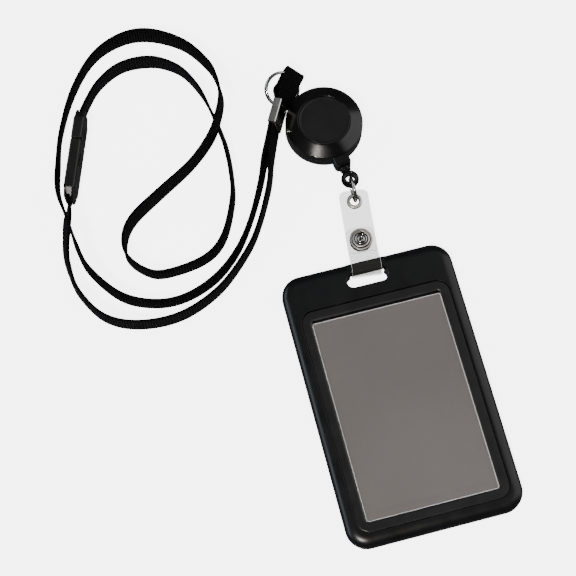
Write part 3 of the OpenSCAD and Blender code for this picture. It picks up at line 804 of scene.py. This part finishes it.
def make_bezel():
    """Trim round the window: a flat land and a rounded lip down to the pane."""
    outer = [(0, BEZEL_Z + 0.02), (0, 5.3), (0.08, 5.46), (0.3, 5.55)]
    inner = [(-0.9, 5.55), (-0.45, 5.5), (-0.12, 5.35), (0, 5.1), (0, BEZEL_Z + 0.02)]
    rings = []
    for size, levels in ((BEZEL, outer), (WINDOW, inner)):
        for inset, z in levels:
            w, l, r = size[0] - 2 * inset, size[1] - 2 * inset, max(0.05, size[2] - inset)
            rings.append([(x, y + WINDOW_Y, z) for x, y in rounded_rect(w, l, r)])
    bezel = make("window_trim", loft(rings, closed=True), "bezel_abs")
    flatten_normals(bezel)
    # painted highlight: the trim's sloped faces are made lighter, as lines of light along its lips
    mark_faces(bezel, "bezel_lip_highlight", lambda _, slope: 40 < slope < 80)
    finish_piece(bezel, "holder", "window_bezel")


def make_pane():
    """Pane with two faint steps inside its edge, a rim painted bright as a highlight, and a gap along its
    top painted black as shade.
    """
    size = (BAY[0] - 0.3, BAY[1] - 0.3, 1)
    step = 0.07
    levels = [(0.2, 3.77), (0, 3.95), (0, PANE_Z - 0.1), (0.1, PANE_Z)]
    for k, inset in enumerate((5.4, 6.6)):
        levels += [(inset, PANE_Z - step * k), (inset + 0.15, PANE_Z - step * (k + 1))]
    pane = make("frosted_window", rect_stack(size, levels, WINDOW_Y), "smoke_pane")
    half_w = WINDOW[0] / 2
    y1 = WINDOW_Y + WINDOW[1] / 2
    under_trim = 0.3
    depth = 0.7
    cut(pane, block((-half_w, half_w), (y1 - PANE_GAP, y1 + under_trim), (PANE_Z - depth, PANE_Z + 1)))
    flatten_normals(pane)

    def in_painted_shadow_gap(p, _):
        across = abs(p.x) < half_w + 0.01 and y1 - PANE_GAP - 0.01 < p.y < y1 + under_trim + 0.01
        return across and PANE_Z - depth - 0.01 < p.z < PANE_Z - 0.2

    # painted shadow: the faces in the gap take the shell's black plastic, as shade along the trim's top edge
    mark_faces(pane, "black_abs", in_painted_shadow_gap)
    finish_piece(pane, "holder", "front_window")
    # the rim round the window is painted near white as a highlight line
    inside = 0.16
    size = (WINDOW[0] - inside, WINDOW[1] - inside - PANE_GAP, 1.1)
    levels = [(0, PANE_Z - 0.03), (0.06, PANE_Z + 0.1), (0.26, PANE_Z + 0.12), (0.32, PANE_Z - 0.03)]
    shape = rect_stack(size, levels, WINDOW_Y - PANE_GAP / 2, closed=True)
    finish_piece(make("window_rim", shape, "smoke_pane", finish="pane_edge_highlight"), "holder")


def make_cover():
    """The sliding back cover, with thumb grooves."""
    half = 29.75
    tongue = 31.05
    right = [(half, 0), (half, 1.15), (tongue, 1.15), (tongue, 1.75), (half, 1.75), (half, 2)]
    outline = right + [(-x, z) for x, z in right[::-1]]
    ends = (-HOLDER[1] / 2, 41)
    cover = make("sliding_cover", loft([[(x, y, z) for x, z in outline] for y in ends]), "black_abs")
    corner = make("corner", rect_stack(HOLDER, [(0, -1), (0, 3)]), "black_abs")
    combine(cover, corner, "INTERSECT")
    soften(cover, 0.18)
    thumb_y, pitch = -40.3, 2.4
    groove = [(-0.15, -0.1), (0, 0.12), (0.1, 0.5), (0.4, 0.6)]
    for i in range(5):
        cut(cover, rect_stack((18, 1.4, 0.65), groove, thumb_y + i * pitch, steps=5))
    flatten_normals(cover)
    finish_piece(cover, "cover", "back_cover")


# ---------- vinyl strap and snap ----------


def strap_shape(line, half_width):
    """Vinyl strip along a line of (y, z), half_width(y) to each side, with slightly rounded edges."""
    half_t = STRAP_T / 2
    corner = 0.1
    rings = []
    for i, (y, z) in enumerate(line):
        a = line[max(0, i - 1)]
        b = line[min(len(line) - 1, i + 1)]
        length = hypot(b[0] - a[0], b[1] - a[1])
        normal = (-(b[1] - a[1]) / length, (b[0] - a[0]) / length)
        w = half_width(y, i)
        half = [(w, -half_t + corner), (w, half_t - corner), (w - corner, half_t), (corner - w, half_t)]
        section = half + [(-x, -n) for x, n in half]
        rings.append([(x, y + normal[0] * n, z + normal[1] * n) for x, n in section])
    return loft(rings)


def round_end(end, radius=2.5):
    """Half width of a strip whose far end, at end, has round corners."""

    def half_width(y, _):
        past = min(radius, max(0.0, y - (end - radius)))
        return STRAP_W / 2 - radius + sqrt(radius ** 2 - past ** 2)

    return half_width


def end_steps(start, end, radius=2.5):
    """Places along the last stretch, close together where the corners are round."""
    flat = [start + (end - radius - start) * i / 6 for i in range(1, 7)]
    return flat + [end - radius + radius * sin(pi / 2 * i / 10) for i in range(1, 11)]


def mark_edges(strap):
    """The cut edges of the vinyl are painted whiter than its faces as highlight lines, and its crease is
    whiter too.
    """
    strap.data.materials.append(LOOK["vinyl_edge_highlight"])
    back = AT_STRAP.inverted()
    for face in strap.data.polygons:
        side = AT_STRAP.to_3x3().transposed() @ face.normal
        place = back @ (face.center / MM)
        creased = abs(place.y - LEG_END) < 0.3 and place.z > JOINT_Z
        if abs(side.x) > 0.6 and face.area < 2e-6 or creased:
            face.material_index = 1


def make_strap():
    mid_r = LOOP_R + STRAP_T / 2
    tangent = radians(33)
    flat_z = JOINT_Z + STRAP_T / 2
    bend = [
        (mid_r * sin(a), LOOP_Z + mid_r * cos(a))
        for a in (-pi - 0.05 + (tangent + pi + 0.05) * i / 24 for i in range(25))
    ]
    leg = rounded([bend[-1], (LEG_END, flat_z), (LEG_END + 6, flat_z)], 2.4, steps=8)
    line = bend + leg[1:-1] + [(y, flat_z) for y in end_steps(LEG_END + 3, STRAP_END_Y)]
    strap = make("strap_top_layer", strap_shape(line, round_end(STRAP_END_Y)), "clear_vinyl", AT_STRAP)
    for radius, y in ((SNAP_HOLE_R, SNAP_Y), (EYELET_HOLE_R, EYELET_Y)):
        cut(strap, drum(radius, (0, 9)), AT_STRAP @ Matrix.Translation((0, y, 0)))
    mark_edges(strap)
    finish_piece(strap, "strap", "strap_front")


def make_flap():
    z = JOINT_Z - STRAP_T / 2 - 0.1
    low = LOOP_Z - LOOP_R - STRAP_T / 2 + 0.05
    leg = rounded([(0.35, low), (1.4, low + 0.12), (LEG_END, z), (LEG_END + 6, z)], 2, steps=6)
    line = leg[:-1] + [(y, z) for y in end_steps(LEG_END + 3, FLAP_END)]
    shape = strap_shape(line, round_end(FLAP_END))
    flap = make("strap_flap_layer", shape, "clear_vinyl", AT_STRAP, finish="thin_vinyl")
    cut(flap, drum(1.6, (0, 9)), AT_STRAP @ Matrix.Translation((0, SNAP_Y, 0)))
    bend_piece(flap, "strap_flap")


def make_snap():
    at_snap = AT_STRAP @ Matrix.Translation((0, SNAP_Y, 0))
    top = JOINT_Z + STRAP_T
    socket = rounded([
        (2.0, JOINT_Z + 0.02), (2.24, JOINT_Z + 0.02), (2.24, top + 0.02), (4.5, top + 0.02),
        (4.5, top + 0.42), (3.7, top + 0.5), (3.66, top + 0.12), (3.42, top + 0.12), (3.4, top + 1.0),
        (2.78, top + 1.1), (2.74, top + 0.12), (2.0, top + 0.12),
    ], 0.12, closed=True)
    cup = make("snap_cup", lathe(socket, loop=True), "nickel", at_snap, 60, "satin_nickel")
    middle = at_snap.translation.xy

    def in_shadow(p, _):
        r = (p.xy - middle).length
        return p.z > top and (r < 2.79 or 3.4 < r < 3.68) or r > 4.42

    mark_faces(cup, "groove_shadow", in_shadow)
    finish_piece(cup, "strap", "snap_socket")
    spring = [
        (2.1 * cos(radians(105 + a)), 2.1 * sin(radians(105 + a)), top + 0.85) for a in range(0, 331, 6)
    ]
    finish_piece(make("snap_wire", wire(spring, 0.28), "nickel", at_snap), "strap", "snap_spring")
    under = JOINT_Z - 0.1 - STRAP_T
    stud = rounded([
        (0.7, under - 0.5), (4.1, under - 0.5), (4.1, under - 0.04), (1.45, under - 0.04), (1.45, 4.2),
        (1.5, 4.6), (1.25, 4.9), (0.9, 4.92), (0.7, 4.6),
    ], 0.2, closed=True)
    post = make("snap_post", lathe(stud, loop=True, steps=64), "nickel", at_snap, 60)
    finish_piece(post, "flap", "snap_stud")
    cap = [(0, 0.62), (3.4, 0.75), (4.45, under - 0.72), (4.4, under - 0.53), (0, under - 0.53)]
    back = make("snap_back_cap", lathe(rounded(cap, 0.3)), "nickel", at_snap, 50)
    finish_piece(back, "flap", "snap_cap")


def make_eyelet():
    at_eyelet = AT_STRAP @ Matrix.Translation((0, EYELET_Y, JOINT_Z + STRAP_T / 2))
    half = STRAP_T / 2
    section = rounded([
        (1.75, -half - 0.4), (2.4, -half - 0.46), (3.0, -half - 0.3), (3.0, -half - 0.02),
        (2.14, -half - 0.02), (2.14, half + 0.02), (3.0, half + 0.02), (3.0, half + 0.28),
        (2.4, half + 0.46), (1.75, half + 0.4),
    ], 0.2, closed=True)
    grommet = make("strap_grommet", lathe(section, loop=True), "nickel", at_eyelet, 60, "satin_nickel")
    middle = at_eyelet.translation.xy
    mark_faces(grommet, "groove_shadow", lambda p, _: not 1.95 < (p.xy - middle).length < 2.8)
    finish_piece(grommet, "strap", "strap_eyelet")


# ---------- link, cord end and reel ----------


def ring_path(radius, steps=96):
    return [(radius * cos(2 * pi * i / steps), radius * sin(2 * pi * i / steps), 0) for i in range(steps)]


def make_link():
    place = Matrix.Translation(LINK_POS) @ Matrix.Rotation(radians(-1.5), 4, "Z")
    place = place @ Matrix.Rotation(pi / 2, 4, "Y")
    link = make("link_wire", wire(ring_path(LINK_R), WIRE_D / 2, sides=20, closed=True), "steel_wire", place)
    finish_piece(link, "link", "link_ring")


def make_cord_end():
    half = EYE_T / 2
    section = rounded([
        (1.8, -half + 0.3), (2.1, -half), (EYE_R - 1, -half), (EYE_R, -0.75), (EYE_R, 0.75),
        (EYE_R - 1, half), (2.1, half), (1.8, half - 0.3),
    ], 0.45, closed=True, steps=5)
    eye_place = AT_REEL @ Matrix.Translation((0, -EYE_Y, CORD_Z))
    eye = make("cord_bead", lathe(section, loop=True), "gloss_abs", eye_place, 60)
    cut(eye, along_y(drum(0.95, (-6, 0))), eye_place)
    flatten_normals(eye)
    finish_piece(eye, "eye", "cord_eye")
    long = COLLAR[1] - COLLAR[0]
    collar = rounded([
        (0.45, 0), (2.15, 0), (2.4, 0.25), (2.4, 0.75), (1.95, 0.95), (1.95, 1.2), (2.2, 1.35),
        (2.1, long - 0.95), (0.88, long - 0.85), (0.88, 3.2), (0.7, 3.3), (0, 3.3),
    ], 0.14)
    place = AT_REEL @ Matrix.Translation((0, -COLLAR[0], CORD_Z))
    collar_shape = along_y(lathe([(0, 0.4), (0.45, 0.4)] + collar, steps=64))
    finish_piece(make("cord_stop", collar_shape, "gloss_abs", place, 40), "cord_end", "cord_collar")
    run = [(0, -y, CORD_Z) for y in (11.6, 13, 15, 17, 18.5, 19.4, 20.2)]
    cord = make("pull_cord", wire(run, CORD_D / 2), "nylon_cord", AT_REEL)
    bend_piece(cord, "reel_cord")


def make_reel_base():
    wall = 1.3
    cup = rounded([
        (0, 0.02), (REEL_R - 0.7, 0.02), (REEL_R, 0.7), (REEL_R, SPLIT_Z - 0.12), (REEL_R - 0.15, SPLIT_Z),
        (REEL_R - wall, SPLIT_Z), (REEL_R - wall, 1.2), (0, 1.2),
    ], 0.3)
    base = make("reel_back_shell", lathe(cup, steps=128), "gloss_abs", AT_REEL)
    # tapered outlet for the cord
    w, l, r = 6.6, 6.2, 0.9
    levels = [(0, -14.4), (0, -18.6), (0.25, -18.9), (0.3, -19.3), (0.6, -NECK_END)]
    rings = [
        [(x, y, z + CORD_Z) for x, z in rounded_rect(w - 2 * inset, l - 2 * inset, r)]
        for inset, y in levels
    ]
    add(base, loft(rings), AT_REEL)
    cut(base, along_y(drum(0.9, (13, 30))), AT_REEL @ Matrix.Translation((0, 0, CORD_Z)))
    at_top = AT_REEL @ Matrix.Translation((0, 0, SPLIT_Z))
    cut(base, drum(REEL_R + 0.1, (0, 6), 128), at_top)
    cut(base, drum(2.3, (-1, 0.7)), AT_REEL)
    flatten_normals(base)
    finish_piece(base, "reel", "reel_base")


def make_lug():
    """Eye on the reel's rim that holds the split ring."""
    p = ring_point(LUG_ANGLE)
    hole_r = 1.45
    thick = 1.6
    place = placed((p.x, p.y, 0), LUG_DIR)
    eye_place = place @ Matrix.Translation((0, 0, p.z))
    reach = 5.2
    levels = [(0.25, 0.3), (0, 0.5), (0, p.z + hole_r)]
    rings = [
        [(x + reach / 2, y, z) for x, y in rounded_rect(reach - 2 * inset, thick - 2 * inset, 0.3, 4)]
        for inset, z in levels
    ]
    lug = make("ring_lug", loft(rings), "gloss_abs", place)
    add(lug, along_y(drum(hole_r + 0.4, (-thick / 2, thick / 2))), eye_place)
    cut(lug, along_y(drum(hole_r, (-2, 2))), eye_place)
    flatten_normals(lug)
    finish_piece(lug, "reel")


def make_reel_cover():
    wall = 1.3
    z0 = SPLIT_Z + 0.08
    section = rounded([
        (REEL_R - 0.12, z0), (REEL_R, z0 + 0.12), (REEL_R, EDGE_Z), (DISC_R + 0.55, REEL_T - 0.08),
        (DISC_R + 0.3, REEL_T), (DISC_R + 0.1, REEL_T - 0.12), (DISC_R + 0.1, REEL_T - 0.9),
        (0, REEL_T - 0.9), (0, REEL_T - 1.8), (DISC_R, REEL_T - 1.8), (REEL_R - wall, EDGE_Z - 0.6),
        (REEL_R - wall, z0),
    ], 0.22, closed=True)
    cover = make("reel_front_shell", lathe(section, loop=True, steps=160), "gloss_abs", AT_REEL, 50)
    flatten_normals(cover)
    finish_piece(cover, "reel", "reel_cover")
    top = REEL_T - 0.16
    face = rounded([
        (0, REEL_T - 0.88), (DISC_R - 0.02, REEL_T - 0.88), (DISC_R - 0.02, top - 0.05),
        (DISC_R - 0.5, top), (DISC_R - 0.9, top - 0.12), (0, top - 0.12),
    ], 0.16)
    disc = make("reel_face_disc", lathe(face, steps=160), "reel_face", AT_REEL, 50)
    flatten_normals(disc)
    finish_piece(disc, "reel", "reel_disc")


# ---------- split ring, crimp and buckle ----------


def make_split_ring():
    """Two turns of one wire: it steps from the upper turn to the lower one over a short arc."""
    half = WIRE_D / 2 - 0.03
    step_at = 150
    step_long = 40
    turns = 705
    path = []
    for angle in range(-345, turns - 345 + 1, 5):
        part = min(1, max(0, (angle + step_long / 2) / step_long))
        rise = half * cos(pi * part)
        a = radians(angle + step_at)
        path.append((RING_R * cos(a), RING_R * sin(a), rise))
    ring = make("key_ring", wire(path, WIRE_D / 2 - 0.01, sides=16), "steel_wire", AT_RING)
    finish_piece(ring, "ring", "split_ring")


def make_crimp():
    """Pressed metal crimp, open in a window over the webbing."""
    w, l, t = CRIMP
    rings = [
        [(x, y, z) for x, z in rounded_rect(w - 2 * inset, t - 2 * inset, 0.55)]
        for inset, y in ((0.12, -l / 2), (0, -l / 2 + 0.15), (0, l / 2 - 0.15), (0.12, l / 2))
    ]
    crimp = make("metal_crimp", loft(rings), "nickel", AT_CRIMP)
    hole = [[(x, y, z) for x, z in rounded_rect(w - 1.2, 2.6, 0.2, 4)] for y in (-l, l)]
    cut(crimp, loft(hole), AT_CRIMP)
    window = rounded_rect(w - 3.4, l - 2.4, 0.5, 5)
    cut(crimp, loft([[(x, y, z) for x, y in window] for z in (0.9, 3)]), AT_CRIMP)
    soften(crimp, 0.12, 2, 50)
    flatten_normals(crimp)
    finish_piece(crimp, "lanyard", "crimp")


def buckle_body(name, stations):
    """A buckle half: sections of the given width and thickness along the buckle."""
    rings = [
        [(x, y, z) for x, z in rounded_rect(t, w, min(0.9, t / 3), 5)] for y, w, t in stations
    ]
    return make(name, loft(rings), "buckle_abs", AT_BUCKLE)


def web_slot(y0, y1):
    return block((-WEB_T / 2 - 0.1, WEB_T / 2 + 0.1), (y0, y1), (-WEB_W / 2 - 0.1, WEB_W / 2 + 0.1))


def make_buckle():
    length, w, t = BUCKLE
    end = length / 2
    seam = end - PLUG_HEAD
    tail = [(-end, w - 3.6, t - 1), (-end + 0.3, w - 3, t - 0.7), (-end + 1.6, w - 1.7, t - 0.55),
            (-end + 3.2, w - 0.5, t - 0.5), (-end + 3.5, w - 0.1, t - 0.1), (-end + 4, w, t)]
    mouth = [(seam - 0.6, w, t), (seam - 0.3, w - 0.2, t - 0.2), (seam - 0.15, w - 0.6, t - 0.5)]
    socket = buckle_body("buckle_socket_half", tail + mouth)
    cut(socket, block((-1.3, 1.3), (-8, 32), (-w / 2 + 1.3, w / 2 - 1.3)), AT_BUCKLE)
    cut(socket, web_slot(-length, -7), AT_BUCKLE)
    # windows in the two faces, over the prongs
    for z in (-3, 3):
        rings = [[(x, y - 2.2, zz + z) for y, zz in rounded_rect(5.4, 2.4, 0.8, 4)] for x in (-4, 4)]
        cut(socket, loft(rings), AT_BUCKLE)
    soften(socket, 0.12, 2, 60)
    flatten_normals(socket)
    finish_piece(socket, "lanyard", "buckle_socket")
    head = [(seam + 0.15, w - 0.6, t - 0.5), (seam + 0.3, w - 0.2, t - 0.2), (seam + 0.6, w, t),
            (end - 4, w, t), (end - 3.5, w - 0.1, t - 0.1), (end - 3.2, w - 0.5, t - 0.5),
            (end - 1.6, w - 1.7, t - 0.55), (end - 0.3, w - 3, t - 0.7), (end, w - 3.6, t - 1)]
    plug = buckle_body("buckle_plug_half", head)
    for z in (-2.8, 2.8):
        prong = [[(x, y, zz + z) for x, zz in rounded_rect(2 - 2 * i, 2.6 - 2 * i, 0.4, 4)]
                 for i, y in ((0.4, seam - 11), (0, seam - 10.4), (0, seam + 0.8))]
        add(plug, loft(prong), AT_BUCKLE)
    cut(plug, web_slot(seam + 4, length), AT_BUCKLE)
    # grip ridges across the head
    ridge_z = (-w / 2 + 1.6, w / 2 - 1.6)
    for k in range(3):
        y = seam + 2.4 + k * 1.3
        for edge in (-t / 2, t / 2):
            cut(plug, block((edge - 0.18, edge + 0.18), (y, y + 0.55), ridge_z), AT_BUCKLE)
    soften(plug, 0.1, 2, 60)
    flatten_normals(plug)
    finish_piece(plug, "plug", "buckle_plug")


make_shell()
make_bezel()
make_pane()
make_cover()
make_strap()
make_flap()
make_snap()
make_eyelet()
make_link()
make_cord_end()
make_reel_base()
make_lug()
make_reel_cover()
make_split_ring()
make_crimp()
make_buckle()

# ---------- CAD nodes that stay: the pieces hidden inside ----------

KEPT = {
    "reel_screw": "steel_wire", "reel_spring": "spring_steel", "reel_spool": "white_acetal",
    "reel_cord_wound": "nylon_cord", "cord_knot": "nylon_cord",
}
for node, slot in KEPT.items():
    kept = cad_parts[node]
    kept.data.materials.clear()
    kept.data.materials.append(LOOK[slot])

# ---------- floor and light ----------


def make_floor():
    size = 6
    corners = [(-size, -size, 0), (size, -size, 0), (size, size, 0), (-size, size, 0)]
    mesh = bpy.data.meshes.new("floor")
    mesh.from_pydata(corners, [], [(0, 1, 2, 3)])
    floor = new_object("floor", mesh)
    floor.location.z = -0.0002
    # its glow isn't reflected, so that glossy black parts stay dark as in a dim room
    floor.visible_glossy = False
    mesh.materials.append(floor_paint("floor_paint"))


def softbox(name, position, aim, size, power, colour=(1, 1, 1)):
    data = bpy.data.lights.new(name, "AREA")
    data.shape = "RECTANGLE"
    data.size, data.size_y = size
    data.energy = power
    data.color = colour
    light = new_object(name, data)
    light.location = position
    light.rotation_euler = (Vector(aim) - Vector(position)).to_track_quat("-Z", "Y").to_euler()


def make_light():
    world = bpy.data.worlds.new("studio")
    world.use_nodes = True
    sky = world.node_tree.nodes["Background"]
    sky.inputs["Color"].default_value = (0.9, 0.94, 1, 1)
    sky.inputs["Strength"].default_value = 0.07
    bpy.context.scene.world = world
    middle = (-0.03, 0.05, 0)
    softbox("left_light", (-1.5, 0.55, 0.62), middle, (2.2, 0.8), 15, (0.82, 0.92, 1))
    softbox("right_light", (1.3, 0.1, 0.9), middle, (1.5, 2.0), 13, (1, 0.985, 0.975))
    softbox("top_light", (0.2, 0.62, 1.55), middle, (1.6, 1.0), 0.95, (0.97, 0.985, 1))
    softbox("front_light", (-0.5, -0.62, 1.28), middle, (0.17, 0.17), 21, (1, 0.94, 0.87))


make_floor()
make_light()
